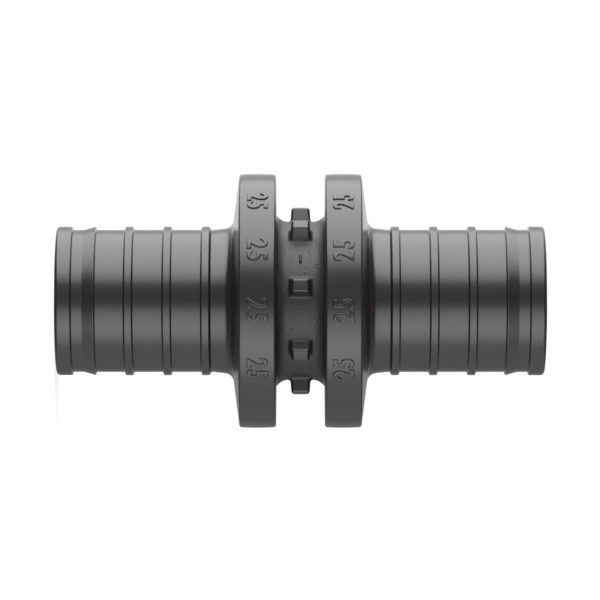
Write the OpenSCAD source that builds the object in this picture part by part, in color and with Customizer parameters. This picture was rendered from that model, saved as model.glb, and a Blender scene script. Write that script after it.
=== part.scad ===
// Straight coupling for plastic pipe, moulded in one piece. Its axis is vertical and its centre
// is the origin, so it stands on the end face of its lower spigot.

/* [Overall] */
// Length from end face to end face
length = 74; // [70:1:90]
// Diameter of the bore, which runs straight from end to end
bore_d = 17; // [12:0.5:18]
// Width of the chamfer round each mouth of the bore
mouth_chamfer = 0.5; // [0.2:0.1:1]

/* [Spigots] */
// Diameter of a spigot between its ribs
root_d = 21.6; // [21:0.1:22.4]
// Height of the ribs, the barb and the end band above the root
rib_h = 0.5; // [0.3:0.05:0.8]
// Number of ribs on each spigot
rib_count = 3; // [1:1:3]
// Width of a rib across its crest
rib_w = 1.05; // [0.6:0.05:2]
// How far the foot of a rib reaches past its crest on each side
rib_draft = 0.2; // [0.05:0.05:0.4]
// Distance from the rim of a collar to the middle of the rib beside it
rib_start = 5.1; // [4.6:0.1:6]
// Distance from the middle of one rib to the next
rib_pitch = 5.8; // [4:0.1:6.5]
// Edge radius of the ribs, the barb and the inner edge of the end band
rib_edge_r = 0.12; // [0.05:0.01:0.2]
// Distance from an end face to the steep back of the barb beside it
barb_back = 5.9; // [5:0.1:7]
// Length of the ramp of a barb, from its crest to the root
barb_l = 1.85; // [1:0.05:2.4]
// Width of the band round each end
band_w = 2.35; // [1.5:0.05:3]
// Edge radius round each end face
end_edge_r = 0.55; // [0.15:0.05:0.7]

/* [Collars] */
// Diameter of a collar
collar_d = 38.6; // [34:0.2:44]
// Width of a collar at its rim
collar_w = 5.55; // [4:0.05:7]
// Draft of the face that looks along the spigot, in degrees
collar_draft = 7.2; // [2:0.2:10]
// Rise of the rim from its edges to its middle
rim_crown = 0.1; // [0.05:0.05:0.3]
// Edge radius of the rim
rim_edge_r = 0.4; // [0.2:0.05:0.8]
// Radius of the cove between a collar and its spigot
cove_r = 1.45; // [0.8:0.05:2]
// Height of the flare by which a spigot thickens towards its collar
flare_h = 0.33; // [0.1:0.01:0.5]
// Length of the flare
flare_l = 2.9; // [2.4:0.1:3.2]

/* [Neck] */
// Diameter of the neck between the collars
neck_d = 24; // [22:0.2:26]
// Width of the gap between the collars
neck_w = 7.4; // [6:0.1:9]
// Width of the straight part of the neck
neck_flat_w = 3.5; // [3.2:0.1:4.5]
// Radius of the coves on both sides of it
neck_cove_r = 2.3; // [2:0.1:3]

/* [Lugs] */
// Number of lugs round the neck
lug_count = 8; // [2:1:10]
// Height of a lug above the neck
lug_h = 2.27; // [1.5:0.01:3.5]
// Width of a lug along the coupling, at its top
lug_w = 2.7; // [2:0.1:3]
// Length of a lug round the neck, at its top
lug_l = 1.95; // [1.5:0.05:3]
// Draft of the two faces that look towards the collars, in degrees
lug_side_draft = 4; // [1:0.5:6]
// Draft of the two faces that look round the neck, in degrees
lug_end_draft = 9; // [2:0.5:12]
// Edge radius round the top of a lug
lug_edge_r = 0.28; // [0.1:0.02:0.4]
// Radius of the fillet round the foot of a lug
lug_foot_r = 0.38; // [0.2:0.02:0.6]

/* [Hidden] */
$fn = 96;

bore_r = bore_d / 2;
root_r = root_d / 2;
crest_r = root_r + rib_h;
end_z = length / 2;
neck_r = neck_d / 2;
lug_r = neck_r + lug_h;
// Radius down to which a lug is sunk, in the middle of the wall
lug_base_r = (bore_r + neck_r) / 2;
// Where a collar's rim begins and ends, and the radius of the rim at its middle and its edges
rim_z0 = neck_w / 2;
rim_z1 = rim_z0 + collar_w;
rim_r = collar_d / 2;
rim_edge = rim_r - rim_crown;
// Radius of the arc that crowns the rim, and the number of steps in its full circle
crown_arc_r = (pow(collar_w / 2, 2) + pow(rim_crown, 2)) / (2 * rim_crown);
crown_steps = 720;
// Depth by which one form runs into another, so that no two faces only touch
bite = 0.02;

function unit(v) = v / norm(v);

// The area between a corner, whose edges run towards a and b, and the arc of radius r that
// rounds it.
module corner_area(corner, a, b, r) {
    u = unit(a - corner);
    v = unit(b - corner);
    half = acos(u * v) / 2;
    centre = corner + unit(u + v) * r / sin(half);
    past_corner = corner - unit(u + v) * r;
    reach = r / tan(half);
    difference() {
        polygon([past_corner, corner + u * reach, centre, corner + v * reach]);
        translate(centre) circle(r);
    }
}

// Outline through a list of corners. Each corner is [[x, y], radius]: a radius above 0 rounds
// it off, one below 0 fills it with a cove, and 0 leaves it sharp.
module outline(corners) {
    n = len(corners);
    at = [for (corner = corners) corner[0]];
    difference() {
        polygon(at);
        for (i = [0 : n - 1]) if (corners[i][1] > 0)
            corner_area(at[i], at[(i + n - 1) % n], at[(i + 1) % n], corners[i][1]);
    }
    for (i = [0 : n - 1]) if (corners[i][1] < 0)
        corner_area(at[i], at[(i + n - 1) % n], at[(i + 1) % n], -corners[i][1]);
}

// The modules from here to half_section draw the right-hand half of a cut along the axis, with
// x as the radius and y as the height. Only the upper spigot is drawn: the lower one mirrors it.
module rib(z) {
    crest_half = rib_w / 2;
    foot_half = crest_half + rib_draft;
    outline([
        [[root_r - bite, z - foot_half], 0],
        [[crest_r, z - crest_half], rib_edge_r],
        [[crest_r, z + crest_half], rib_edge_r],
        [[root_r - bite, z + foot_half], 0],
    ]);
}

// Barb that keeps the pipe from sliding off: steep towards the collar, a ramp towards the end.
module barb() {
    back = end_z - barb_back;
    outline([
        [[root_r - bite, back - rib_draft], 0],
        [[crest_r, back], rib_edge_r],
        [[root_r - bite, back + barb_l], 0],
    ]);
}

// Band round the end of the spigot, with the end of the spigot itself.
module end_band() {
    inner = end_z - band_w;
    outline([
        [[0, inner - rib_draft], 0],
        [[root_r - bite, inner - rib_draft], 0],
        [[crest_r, inner], rib_edge_r],
        [[crest_r, end_z], end_edge_r],
        [[0, end_z], 0],
    ]);
}

// Collar with its half of the neck, still solid up to the rim, and the cove and flare beside it.
module collar() {
    face_z = rim_z1 + (rim_edge - root_r - flare_h) * tan(collar_draft);
    rim = [rim_edge, rim_z1];
    cove = [root_r + flare_h, face_z];
    difference() {
        union() {
            outline([
                [[0, 0], 0],
                [[rim_edge, 0], 0],
                [rim, 0],
                [cove, -cove_r],
                [[root_r - bite, face_z + flare_l], 0],
                [[0, face_z + flare_l], 0],
            ]);
            intersection() {
                translate([rim_r - crown_arc_r, rim_z0 + collar_w / 2])
                    circle(crown_arc_r, $fn = crown_steps);
                translate([root_r, rim_z0]) square([rim_r, collar_w]);
            }
        }
        corner_area(rim, rim + [collar_w / 2, rim_crown - crown_arc_r], cove, rim_edge_r);
    }
}

// Gap between the collars, down to the neck, and what rounds the edge of the rim beside it.
module neck_gap() {
    rim = [rim_edge, rim_z0];
    intersection() {
        union() {
            translate([neck_r, -neck_flat_w / 2]) square([rim_r, neck_flat_w]);
            translate([neck_r + neck_cove_r, -rim_z0]) square([rim_r, neck_w]);
            translate([neck_r + neck_cove_r, neck_flat_w / 2]) circle(neck_cove_r);
        }
        translate([0, -rim_z0]) square([2 * rim_r, neck_w]);
    }
    corner_area(rim, [0, rim_z0], rim + [collar_w / 2, crown_arc_r - rim_crown], rim_edge_r);
}

module half_section() {
    difference() {
        union() {
            square([root_r, end_z - bite]);
            collar();
            barb();
            end_band();
            for (i = [0 : rib_count - 1]) rib(rim_z1 + rib_start + i * rib_pitch);
        }
        neck_gap();
    }
}

// Straight bore, and a cone for the chamfer at each mouth.
module bore() {
    cylinder(h = 2 * length, r = bore_r, center = true);
    for (side = [0, 1]) mirror([0, 0, side]) {
        translate([0, 0, end_z - mouth_chamfer])
            cylinder(h = 2 * mouth_chamfer, r1 = bore_r, r2 = bore_r + 2 * mouth_chamfer);
    }
}

// Cut through a lug that points to the right: drafted sides with round top edges and filleted
// feet. The feet stand at radius foot, where the neck falls off by the angle lean.
module lug_outline(top_w, draft, foot, lean) {
    half_w = top_w / 2;
    foot_half = half_w + (lug_r - foot) * tan(draft);
    for (side = [0, 1]) mirror([0, side]) {
        outline([
            [[lug_base_r, 0], 0],
            [[lug_base_r, foot_half], 0],
            [[foot, foot_half], 0],
            [[lug_r, half_w], lug_edge_r],
            [[lug_r, 0], 0],
        ]);
        corner_area(
            [foot, foot_half], [foot - sin(lean), foot_half + cos(lean)], [lug_r, half_w],
            lug_foot_r
        );
    }
}

// Ring of lugs: a ring as wide as they are, cut into spokes. The middle of each spoke reaches
// past the ring, so that the ring gives the lug its round top.
module lugs() {
    lean = asin((lug_l / 2 + lug_h * tan(lug_end_draft)) / neck_r);
    intersection() {
        rotate_extrude() lug_outline(lug_w, lug_side_draft, neck_r - bite, 0);
        for (i = [0 : lug_count - 1]) rotate(i * 360 / lug_count) {
            linear_extrude(neck_w, center = true) {
                lug_outline(lug_l, lug_end_draft, neck_r * cos(lean) - bite, lean);
                translate([neck_r, lug_edge_r - lug_l / 2])
                    square([2 * lug_h, lug_l - 2 * lug_edge_r]);
            }
        }
    }
}

module coupling_body() {
    color("dimgray") difference() {
        union() {
            rotate_extrude() {
                half_section();
                mirror([0, 1]) half_section();
            }
            lugs();
        }
        bore();
    }
}

coupling_body();
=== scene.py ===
from math import cos, pi, radians, sin, sqrt, tan

import bmesh
import bpy
from mathutils import Matrix, Vector


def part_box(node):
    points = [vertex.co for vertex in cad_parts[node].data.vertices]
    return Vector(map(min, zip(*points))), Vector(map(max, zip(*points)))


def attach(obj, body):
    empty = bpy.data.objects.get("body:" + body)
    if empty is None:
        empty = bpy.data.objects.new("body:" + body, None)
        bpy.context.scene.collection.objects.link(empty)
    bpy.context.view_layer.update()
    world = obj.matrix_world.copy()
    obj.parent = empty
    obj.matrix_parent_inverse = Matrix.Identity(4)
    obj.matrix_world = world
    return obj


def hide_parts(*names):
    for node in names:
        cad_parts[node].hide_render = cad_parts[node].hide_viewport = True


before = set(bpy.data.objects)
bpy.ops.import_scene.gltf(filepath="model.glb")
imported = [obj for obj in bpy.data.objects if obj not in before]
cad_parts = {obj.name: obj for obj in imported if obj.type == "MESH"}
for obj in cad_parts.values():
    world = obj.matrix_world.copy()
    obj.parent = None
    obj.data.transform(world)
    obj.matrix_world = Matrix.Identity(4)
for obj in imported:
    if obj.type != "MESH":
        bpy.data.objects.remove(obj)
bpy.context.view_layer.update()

# The camera looks square at the coupling's axis from 0.8 m away. It lies on its side, so that
# the standing coupling runs across the picture, its upper end to the right. One lug of the neck
# sits a little above the line of sight.
camera_azimuth = radians(-80.5)
camera_distance = 0.789
camera_rise = 0.000129
camera_side_step = -0.000076
image_right = Vector((0, 0, 1))
to_camera = Vector((cos(camera_azimuth), sin(camera_azimuth), 0))
image_up = to_camera.cross(image_right)

camera = bpy.data.objects.new("camera", bpy.data.cameras.new("camera"))
bpy.context.scene.collection.objects.link(camera)
bpy.context.scene.camera = camera
camera_place = (
    to_camera * camera_distance + image_up * camera_rise + image_right * camera_side_step
)
camera.matrix_world = (
    Matrix.Translation(camera_place)
    @ Matrix((image_right, image_up, to_camera)).transposed().to_4x4()
)
camera.data.lens = 311.4
camera.data.sensor_width = 36
camera.data.clip_start = 0.05
camera.data.clip_end = 10
bpy.context.scene.view_settings.view_transform = "Standard"

# Coupling body. One moulding of dark grey high-temperature plastic: a straight tube with a
# ribbed spigot at each end, two thick collars, and a neck between them with a ring of lugs. The
# barbs and ribs hold the pipe, and the fork of the fitting tool goes round the neck.
MM = 0.001
lowest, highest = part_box("coupling_body")
end_z = highest.z / MM
rim_r = highest.x / MM
# Its other sizes, in millimetres. Heights are from its middle, and a half is half a width.
bore_r = 8.5
mouth_chamfer = 0.5
root_r = 10.8
crest_r = 11.3
rib_heights = (14.35, 20.15, 25.95)
rib_edge_r = 0.12
rib_crest_half = 0.525
rib_foot_half = 0.74
first_rib_inner_foot_half = 0.85
neck_r = 12.0
neck_cove_r = 2.3
neck_flat_half = 1.75
rim_inner_z = 3.7
rim_width = 5.55
rim_crown = 0.1
rim_edge_r = 0.4
collar_draft = radians(7.2)
flare_r = 11.13
flare_length = 2.9
cove_r = 1.45
lug_count = 8
lug_height = 2.27
lug_half_length = 0.975
lug_half_width = 1.37
lug_end_draft = radians(9)
lug_side_draft = radians(4)
lug_end_edge_r = 0.34
lug_side_edge_r = 0.5
lug_foot_r = 0.5
lug_corner_r = 0.3
lug_foot_corner_r = 0.4
lug_top_corner_r = 0.06
# The barb and the band round an end are placed by their distances from the end face.
barb_foot = 6.1
barb_crest = 5.9
ramp_foot = 4.1
ramp_foot_r = 0.6
band_foot = 2.55
band_crest = 2.35
end_edge_r = 0.55


def rounded(corners, steps=5, hold=0.03):
    """Line through corners of (radius, height, rounding), with an arc at every rounded corner.
    A point on the straight close to each end of an arc keeps the flat face next to it flat."""
    line = []
    for before, corner, after in zip(corners, corners[1:], corners[2:]):
        at = Vector(corner[:2])
        if corner[2] == 0:
            line.append(at)
            continue
        back = (Vector(before[:2]) - at).normalized()
        ahead = (Vector(after[:2]) - at).normalized()
        half = back.angle(ahead) / 2
        reach = corner[2] / tan(half)
        centre = at + (back + ahead).normalized() * corner[2] / sin(half)
        first = at + back * reach - centre
        last = at + ahead * reach - centre
        line.append(at + back * (reach + hold))
        line += [centre + corner[2] * first.slerp(last, i / steps) for i in range(steps + 1)]
        line.append(at + ahead * (reach + hold))
    return line


def neck_radius(z):
    """Radius of the neck at a height: straight in the middle, with a cove to either side."""
    past_flat = max(abs(z) - neck_flat_half, 0)
    return neck_r + neck_cove_r - sqrt(neck_cove_r**2 - past_flat**2)


# Cut through the upper half, from the middle of the neck out to the mouth of the bore. The lugs
# stand in blocks of the neck's grid, so its rows there are evenly spaced.
block_half = 8
block_z = 2.1
cove_rows = 8
neck_z = [block_z * i / block_half for i in range(block_half + 1)]
neck_z += [block_z + (rim_inner_z - block_z) * i / cove_rows for i in range(1, cove_rows + 1)]
neck = [Vector((neck_radius(z), z)) for z in neck_z]

# The rim of a collar is crowned: a little higher in its middle than at its edges.
crown_steps = 12
crown = []
for i in range(crown_steps + 1):
    share = i / crown_steps
    crown.append((rim_r - rim_crown * (2 * share - 1) ** 2, rim_inner_z + rim_width * share, 0))
crown[0] = crown[0][:2] + (rim_edge_r,)
crown[-1] = crown[-1][:2] + (rim_edge_r,)
rim_outer_z = rim_inner_z + rim_width
face_z = rim_outer_z + (rim_r - rim_crown - flare_r) * tan(collar_draft)

spigot = [(flare_r, face_z, cove_r), (root_r, face_z + flare_length, 0)]
for rib_z in rib_heights:
    inner_foot_half = first_rib_inner_foot_half if rib_z == rib_heights[0] else rib_foot_half
    spigot += [
        (root_r, rib_z - inner_foot_half, 0),
        (crest_r, rib_z - rib_crest_half, rib_edge_r),
        (crest_r, rib_z + rib_crest_half, rib_edge_r),
        (root_r, rib_z + rib_foot_half, 0),
    ]
spigot += [
    (root_r, end_z - barb_foot, 0),
    (crest_r, end_z - barb_crest, rib_edge_r),
    (root_r, end_z - ramp_foot, ramp_foot_r),
    (root_r, end_z - band_foot, 0),
    (crest_r, end_z - band_crest, rib_edge_r),
    (crest_r, end_z, end_edge_r),
    (bore_r + mouth_chamfer, end_z, 0),
    (bore_r, end_z - mouth_chamfer, 0),
]
inner_wall = (neck[-1].x, rim_inner_z, 0)
beyond = (bore_r, 0, 0)
half_section = neck + rounded([inner_wall] + crown + spigot + [beyond])
section = [Vector((p.x, -p.y)) for p in reversed(half_section[1:])] + half_section
middle_row = len(half_section) - 1

body = bmesh.new()
lug_columns = 36
columns = lug_columns * lug_count


def around(radius, angle, z):
    """Point at a distance from the axis, in metres, from sizes in millimetres."""
    return Vector((radius * cos(angle), radius * sin(angle), z)) * MM


# The section goes round the axis and closes on itself along the bore, with an opening left for
# the block of each lug.
grid = [
    [body.verts.new(around(p.x, 2 * pi * column / columns, p.y)) for column in range(columns)]
    for p in section
]
for row in range(-1, len(section) - 1):
    in_block_rows = abs(row + 0.5 - middle_row) < block_half
    for column in range(columns):
        nearest_lug = round((column + 0.5) / lug_columns) * lug_columns
        if in_block_rows and abs(column + 0.5 - nearest_lug) < block_half:
            continue
        beside = (column + 1) % columns
        body.faces.new(
            (grid[row][column], grid[row][beside], grid[row + 1][beside], grid[row + 1][column])
        )


def lug_levels(top_half, draft, edge_r, steps=5, hold=0.03):
    """(distance from the middle of a lug, height) up one side: foot, straight flank, top edge."""
    turn = pi / 2 - draft
    foot_half = top_half + lug_height * tan(draft) + lug_foot_r * tan(turn / 2)
    edge_half = top_half - edge_r * tan(turn / 2)
    foot = [
        (foot_half - lug_foot_r * sin(turn * i / steps), lug_foot_r * (1 - cos(turn * i / steps)))
        for i in range(steps + 1)
    ]
    edge = [
        (
            edge_half + edge_r * sin(turn * i / steps),
            lug_height - edge_r * (1 - cos(turn * i / steps)),
        )
        for i in range(steps, -1, -1)
    ]
    start, end = foot[-1], edge[0]
    flank_length = end[1] - start[1]
    flank = [
        tuple(a + (b - a) * share for a, b in zip(start, end))
        for share in (hold / flank_length, 0.5, 1 - hold / flank_length)
    ]
    return foot + flank + edge


def ring_points(half_u, half_v, corner_r, height_u, height_v):
    """(along, across, height) round one level of a lug, starting and turning like the edge of
    its block in the neck's grid. The height passes from one side's to the next in the corner."""
    points = []
    corner_steps = 3
    straight_steps = 2 * block_half - 2 * corner_steps
    for side in range(4):
        faces_v = side in (0, 2)
        along, across = (half_u, half_v) if faces_v else (half_v, half_u)
        own, other = (height_v, height_u) if faces_v else (height_u, height_v)
        for i in range(2 * block_half):
            from_start = min(i / corner_steps, 1)
            from_end = max((i - corner_steps - straight_steps) / corner_steps, 0)
            tilt = (1 - from_start + from_end) * pi / 4
            straight = min(max((i - corner_steps) / straight_steps, 0), 1) * 2 - 1
            lean = sin(tilt) * (1 if from_end > 0 else -1)
            p = straight * (along - corner_r) + corner_r * lean
            q = across - corner_r + corner_r * cos(tilt)
            height = own + (other - own) * tilt / (pi / 2)
            points.append([(p, -q), (q, p), (-p, q), (-q, -p)][side] + (height,))
    return points


# Each lug goes up from the edge of its block, level by level, to a round top filled with a grid.
# u runs round the neck and v along the coupling, both from the middle of the lug.
levels_u = lug_levels(lug_half_length, lug_end_draft, lug_end_edge_r)
levels_v = lug_levels(lug_half_width, lug_side_draft, lug_side_edge_r)
for lug in range(lug_count):
    turned = Matrix.Rotation(2 * pi * lug / lug_count, 3, "Z")
    first, last = -block_half, block_half
    edge = [(first, i) for i in range(first, last)]
    edge += [(i, last) for i in range(first, last)]
    edge += [(last, i) for i in range(last, first, -1)]
    edge += [(i, first) for i in range(last, first, -1)]
    loop = [
        grid[middle_row + row][(lug * lug_columns + column) % columns] for row, column in edge
    ]
    for (half_u, height_u), (half_v, height_v) in zip(levels_u, levels_v):
        corner_r = lug_corner_r + half_u - lug_half_length
        corner_r = max(min(corner_r, lug_foot_corner_r), lug_top_corner_r)
        inner = []
        for u, v, height in ring_points(half_u, half_v, corner_r, height_u, height_v):
            radius = neck_radius(v) + height
            inner.append(body.verts.new(turned @ Vector((sqrt(radius**2 - u**2), u, v)) * MM))
        for i, vertex in enumerate(loop):
            beside = (i + 1) % len(loop)
            body.faces.new((vertex, loop[beside], inner[beside], inner[i]))
        loop = inner
    side = 2 * block_half
    cap = [[None] * (side + 1) for _ in range(side + 1)]
    for i in range(side):
        cap[0][i] = loop[i]
        cap[i][side] = loop[side + i]
        cap[side][side - i] = loop[2 * side + i]
        cap[side - i][0] = loop[3 * side + i]
    top_r = neck_r + lug_height
    for row in range(1, side):
        for column in range(1, side):
            u = (turned.transposed() @ cap[0][column].co).y
            z = cap[row][side].co.z
            x = sqrt((top_r * MM) ** 2 - u**2)
            cap[row][column] = body.verts.new(turned @ Vector((x, u, z)))
    for row in range(side):
        for column in range(side):
            body.faces.new(
                (
                    cap[row][column],
                    cap[row][column + 1],
                    cap[row + 1][column + 1],
                    cap[row + 1][column],
                )
            )

loose = [vertex for vertex in body.verts if not vertex.link_faces]
bmesh.ops.delete(body, geom=loose, context="VERTS")
bmesh.ops.recalc_face_normals(body, faces=body.faces)
body_crease = radians(24)
for face in body.faces:
    face.smooth = True
for edge in body.edges:
    edge.smooth = edge.calc_face_angle() < body_crease
moulding_mesh = bpy.data.meshes.new("coupling_moulding")
body.to_mesh(moulding_mesh)
body.free()
moulding = bpy.data.objects.new("coupling_moulding", moulding_mesh)
bpy.context.scene.collection.objects.link(moulding)

# The sockets of a colour Mix node, whose names repeat: its share, its two colours, its result.
MIX_SHARE, MIX_FIRST, MIX_SECOND, MIX_RESULT = 0, 6, 7, 2


class Wire:
    """The output of a node. Arithmetic on it adds the Math nodes that work the result out."""

    def __init__(self, tree, socket=None):
        self.tree = tree
        self.socket = socket

    def node(self, kind, settings, sockets, output=0):
        """Adds a node, gives it its settings and then its sockets' values or links."""
        node = self.tree.nodes.new(kind)
        for name, value in settings.items():
            if name == "stops":
                ramp = node.color_ramp
                while len(ramp.elements) < len(value):
                    ramp.elements.new(0.5)
                for element, (position, colour) in zip(ramp.elements, value):
                    element.position = position
                    element.color = colour
            else:
                setattr(node, name, value)
        for name, value in sockets.items():
            if isinstance(value, Wire):
                self.tree.links.new(value.socket, node.inputs[name])
            else:
                node.inputs[name].default_value = value
        return Wire(self.tree, node.outputs[output] if node.outputs else None)

    def math(self, operation, other=0.0):
        return self.node("ShaderNodeMath", {"operation": operation}, {0: self, 1: other})

    def __add__(self, other):
        return self.math("ADD", other)

    __radd__ = __add__

    def __sub__(self, other):
        return self.math("SUBTRACT", other)

    def __rsub__(self, other):
        return self.node("ShaderNodeMath", {"operation": "SUBTRACT"}, {0: other, 1: self})

    def __mul__(self, other):
        if isinstance(other, tuple):
            return self.node("ShaderNodeVectorMath", {"operation": "MULTIPLY"}, {0: self, 1: other})
        return self.math("MULTIPLY", other)

    __rmul__ = __mul__


# Almost black, satin on the spigots and rims, and duller in the gap between the collars and on
# the neck, where the specks are strongest. A relief of 1 stands 0.04 mm high.
plastic = bpy.data.materials.new("moulded_plastic")
plastic.use_nodes = True
plastic.node_tree.nodes.clear()
bench = Wire(plastic.node_tree)
place = bench.node("ShaderNodeTexCoord", {}, {}, "Object")
place_mm = bench.node("ShaderNodeVectorMath", {"operation": "SCALE"}, {0: place, "Scale": 1000})
height = bench.node("ShaderNodeSeparateXYZ", {}, {0: place_mm}, "Z").math("ABSOLUTE")
from_axis = bench.node(
    "ShaderNodeVectorMath", {"operation": "LENGTH"}, {0: place_mm * (1, 1, 0)}, "Value"
)
gap_margin = 0.05
neck_margin = 0.6
between_collars = height.math("LESS_THAN", rim_inner_z - gap_margin)
on_neck = between_collars * from_axis.math("LESS_THAN", neck_r + neck_margin)
cloud = bench.node("ShaderNodeTexNoise", {}, {"Vector": place_mm, "Scale": 0.16, "Detail": 3})
grain = bench.node("ShaderNodeTexNoise", {}, {"Vector": place_mm, "Scale": 3.2, "Detail": 4})
to_speck = bench.node("ShaderNodeTexVoronoi", {}, {"Vector": place_mm, "Scale": 1.1}, "Distance")
speck = bench.node(
    "ShaderNodeMapRange", {}, {"Value": to_speck, "From Max": 0.24, "To Min": 1, "To Max": 0}
)
darker_grey = (0.016, 0.0135, 0.014, 1)
lighter_grey = (0.021, 0.0185, 0.019, 1)
base_colour = bench.node(
    "ShaderNodeMix",
    {"data_type": "RGBA"},
    {MIX_SHARE: cloud, MIX_FIRST: darker_grey, MIX_SECOND: lighter_grey},
    MIX_RESULT,
)
roughness = 0.22 + 0.05 * cloud + 0.03 * grain + 0.1 * between_collars + 0.16 * on_neck
relief = grain * (0.12 + 0.5 * on_neck) + speck * (0.1 + 1.4 * on_neck)
bump = bench.node("ShaderNodeBump", {}, {"Height": relief, "Strength": 1, "Distance": 0.00004})
surface = bench.node(
    "ShaderNodeBsdfPrincipled",
    {},
    {"Base Color": base_colour, "Roughness": roughness, "IOR": 1.75, "Normal": bump},
)
bench.node("ShaderNodeOutputMaterial", {}, {"Surface": surface})

moulding_mesh.materials.append(plastic)
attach(moulding, "root")
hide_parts("coupling_body")

# Numerals. Plain raised figures that are moulded with the body: a 25, the outside diameter in
# millimetres of the pipe that goes on the spigots, four times on the front and the back of each
# collar, and a 1 on the neck. Their tops point to the neck, their sides are soft with draft.
numeral_z = 6.6
numeral_spacing = 27.5
numeral_narrowing = 0.8
# Height of the built-in font's figures, as a share of its size
figure_share = 0.69
numeral_angles = [
    radians(side + step * numeral_spacing)
    for side in (-90, 90)
    for step in (-1.5, -0.5, 0.5, 1.5)
]


def collar_radius(z):
    """Radius of a collar's crowned rim at a height."""
    from_middle = (abs(z) - rim_inner_z) / rim_width * 2 - 1
    return rim_r - rim_crown * from_middle**2


def raised(numerals, text, size, thinning, angle, z, turn, surface_radius, rise, sink):
    """Adds a number to the numerals' mesh, bent round the body with its middle at an angle and
    a height z, and turned on its surface. The size is how tall its figures are with their draft,
    thinning makes their strokes narrower, and they rise above the surface and sink under it."""
    figures = bpy.data.curves.new("figures", "FONT")
    figures.body = text
    figures.align_x = "CENTER"
    figures.align_y = "CENTER"
    figures.space_character = 1.18
    figures.resolution_u = 4
    figures.bevel_depth = (rise + sink) / 2
    figures.bevel_resolution = 3
    figures.offset = -thinning
    figures.size = (size - rise - sink) / figure_share
    figures_object = bpy.data.objects.new("figures", figures)
    bpy.context.scene.collection.objects.link(figures_object)
    evaluated = figures_object.evaluated_get(bpy.context.evaluated_depsgraph_get())
    outline = bpy.data.meshes.new_from_object(evaluated)
    bpy.data.objects.remove(figures_object)
    points = []
    for vertex in outline.vertices:
        x, y, depth = vertex.co
        x *= numeral_narrowing
        along = x * cos(turn) - y * sin(turn)
        point_z = z + x * sin(turn) + y * cos(turn)
        surface_r = surface_radius(point_z)
        radius = surface_r + depth + (rise - sink) / 2
        points.append(numerals.verts.new(around(radius, angle + along / surface_r, point_z)))
    for face in outline.polygons:
        numerals.faces.new([points[index] for index in face.vertices])
    bpy.data.meshes.remove(outline)


numerals = bmesh.new()
for angle in numeral_angles:
    for collar, turn in ((-1, 0), (1, pi)):
        raised(
            numerals, "25", size=3.2, thinning=0, angle=angle, z=collar * numeral_z, turn=turn,
            surface_radius=collar_radius, rise=0.2, sink=0.1,
        )
raised(
    numerals, "1", size=1.4, thinning=0.06, angle=radians(-112.1), z=0, turn=-pi / 2,
    surface_radius=neck_radius, rise=0.38, sink=0.08,
)
weld_distance = 0.0000005
numeral_crease = radians(40)
bmesh.ops.remove_doubles(numerals, verts=numerals.verts, dist=weld_distance)
bmesh.ops.recalc_face_normals(numerals, faces=numerals.faces)
for face in numerals.faces:
    face.smooth = True
for edge in numerals.edges:
    edge.smooth = edge.calc_face_angle(0) < numeral_crease
numeral_mesh = bpy.data.meshes.new("raised_numerals")
numerals.to_mesh(numeral_mesh)
numerals.free()
numeral_mesh.materials.append(plastic)
raised_numerals = bpy.data.objects.new("raised_numerals", numeral_mesh)
bpy.context.scene.collection.objects.link(raised_numerals)
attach(raised_numerals, "root")

# Floor. A white table under the coupling's lower end. The camera sees it as plain white, and
# what light falls on it darkens that white where the coupling shades it.
floor_half = 0.27
floor_mesh = bpy.data.meshes.new("floor")
floor_mesh.from_pydata(
    [
        (-floor_half, -floor_half, lowest.z),
        (floor_half, -floor_half, lowest.z),
        (floor_half, floor_half, lowest.z),
        (-floor_half, floor_half, lowest.z),
    ],
    [],
    [(0, 1, 2, 3)],
)
floor = bpy.data.objects.new("floor", floor_mesh)
bpy.context.scene.collection.objects.link(floor)
white_paint = bpy.data.materials.new("white_floor")
white_paint.use_nodes = True
white_paint.node_tree.nodes.clear()
bench = Wire(white_paint.node_tree)
paint = bench.node("ShaderNodeBsdfDiffuse", {}, {"Color": (0.9, 0.9, 0.9, 1)})
glow = bench.node("ShaderNodeEmission", {}, {"Color": (1, 1, 1, 1), "Strength": 0.65})
bright_paint = bench.node("ShaderNodeAddShader", {}, {0: paint, 1: glow})
seen_by_camera = bench.node("ShaderNodeLightPath", {}, {}, "Is Camera Ray")
floor_finish = bench.node(
    "ShaderNodeMixShader", {}, {0: seen_by_camera, 1: paint, 2: bright_paint}
)
bench.node("ShaderNodeOutputMaterial", {}, {"Surface": floor_finish})
floor_mesh.materials.append(white_paint)
floor.visible_diffuse = False
floor.visible_glossy = False
floor.visible_transmission = False
floor.visible_shadow = False

# Studio light. A long softbox hangs over the coupling as the picture shows it, and a weaker one
# lights it from the front below. The tent round them is white behind the coupling, dim round the
# camera and dark towards both ends of the coupling.


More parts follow.
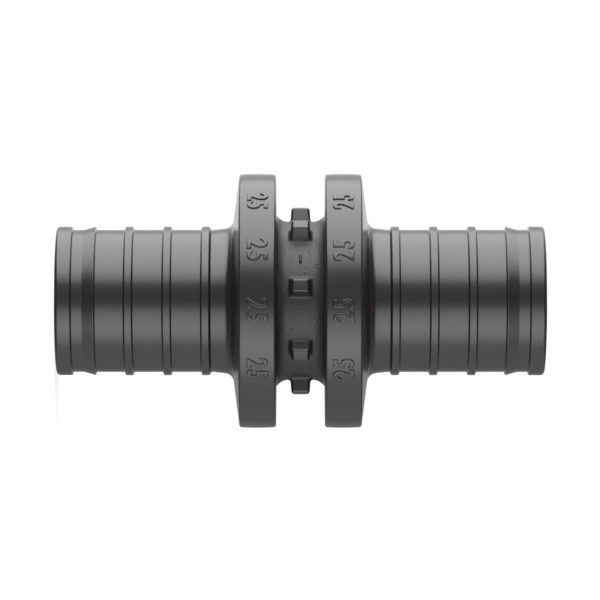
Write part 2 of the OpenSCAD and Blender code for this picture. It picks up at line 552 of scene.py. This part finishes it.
def softbox(name, elevation, spread, radiance, length, distance=0.4):
    """Area lamp that faces the axis, at an angle from the camera up the picture. Seen from the
    axis it is spread degrees wide. It is brightest in its middle and fades out to its edges,
    most of all to the two long ones."""
    towards = Matrix.Rotation(radians(-elevation), 3, image_right) @ to_camera
    lamp = bpy.data.lights.new(name, "AREA")
    lamp.shape = "RECTANGLE"
    lamp.size = length
    lamp.size_y = 2 * distance * tan(radians(spread) / 2)
    lamp.energy = radiance * pi * lamp.size * lamp.size_y
    lamp.use_nodes = True
    lamp.node_tree.nodes.clear()
    bench = Wire(lamp.node_tree)
    place = bench.node("ShaderNodeNewGeometry", {}, {}, "Parametric")
    along = bench.node("ShaderNodeSeparateXYZ", {}, {0: place}, "X") * 2 - 1
    across = bench.node("ShaderNodeSeparateXYZ", {}, {0: place}, "Y") * 2 - 1
    fade = (1 - along * along * along * along) * (1 - across * across)
    cloth = bench.node("ShaderNodeEmission", {}, {"Strength": fade})
    bench.node("ShaderNodeOutputLight", {}, {"Surface": cloth})
    lamp_object = bpy.data.objects.new(name, lamp)
    lamp_object.matrix_world = Matrix.Translation(towards * distance) @ Matrix(
        (image_right, towards.cross(image_right), towards)
    ).transposed().to_4x4()
    lamp_object.visible_camera = False
    bpy.context.scene.collection.objects.link(lamp_object)


softbox("overhead_softbox", elevation=84.5, spread=115, radiance=3.6, length=0.72)
softbox("front_fill", elevation=-40, spread=68, radiance=1.8, length=0.62)

# The tent's light changes round the axis: it comes from the camera's side at 0 degrees, and from
# above in the picture at 90.
world = bpy.data.worlds.new("white_room")
bpy.context.scene.world = world
world.use_nodes = True
world.node_tree.nodes.clear()
bench = Wire(world.node_tree)
direction = bench.node("ShaderNodeTexCoord", {}, {}, "Generated")
facing, rising, sideways = (
    bench.node(
        "ShaderNodeVectorMath", {"operation": "DOT_PRODUCT"}, {0: direction, 1: axis}, "Value"
    )
    for axis in (to_camera, image_up, image_right)
)
turn_up = rising.math("ARCTAN2", facing) * (0.5 / pi) + 0.5
room_light = [(-180, 0.5), (-168, 0.35), (-140, 0.3), (-120, 0.5), (-80, 0.8), (-60, 0.4)]
room_light += [(-25, 0.2), (0, 0.22), (28, 0.25), (45, 0.1), (125, 0.1), (140, 1.0), (155, 0.7)]
room_light += [(168, 1.3), (180, 1.3)]
room = bench.node(
    "ShaderNodeValToRGB",
    {"stops": [(degrees / 360 + 0.5, (light, light, light, 1)) for degrees, light in room_light]},
    {0: turn_up},
)
towards_ends = bench.node(
    "ShaderNodeMapRange",
    {},
    {"Value": sideways.math("ABSOLUTE"), "From Min": 0.35, "From Max": 0.6},
)
dark_ends = towards_ends * (facing * 0.6 + 0.6)
black_cloth = (0.02, 0.02, 0.02, 1)
white_paper = (1, 1, 1, 1)
seen_by_camera = bench.node("ShaderNodeLightPath", {}, {}, "Is Camera Ray")
tent = bench.node(
    "ShaderNodeMix",
    {"data_type": "RGBA"},
    {MIX_SHARE: dark_ends, MIX_FIRST: room, MIX_SECOND: black_cloth},
    MIX_RESULT,
)
backdrop = bench.node(
    "ShaderNodeMix",
    {"data_type": "RGBA"},
    {MIX_SHARE: seen_by_camera, MIX_FIRST: tent, MIX_SECOND: white_paper},
    MIX_RESULT,
)
background = bench.node("ShaderNodeBackground", {}, {"Color": backdrop, "Strength": 1})
bench.node("ShaderNodeOutputWorld", {}, {"Surface": background})
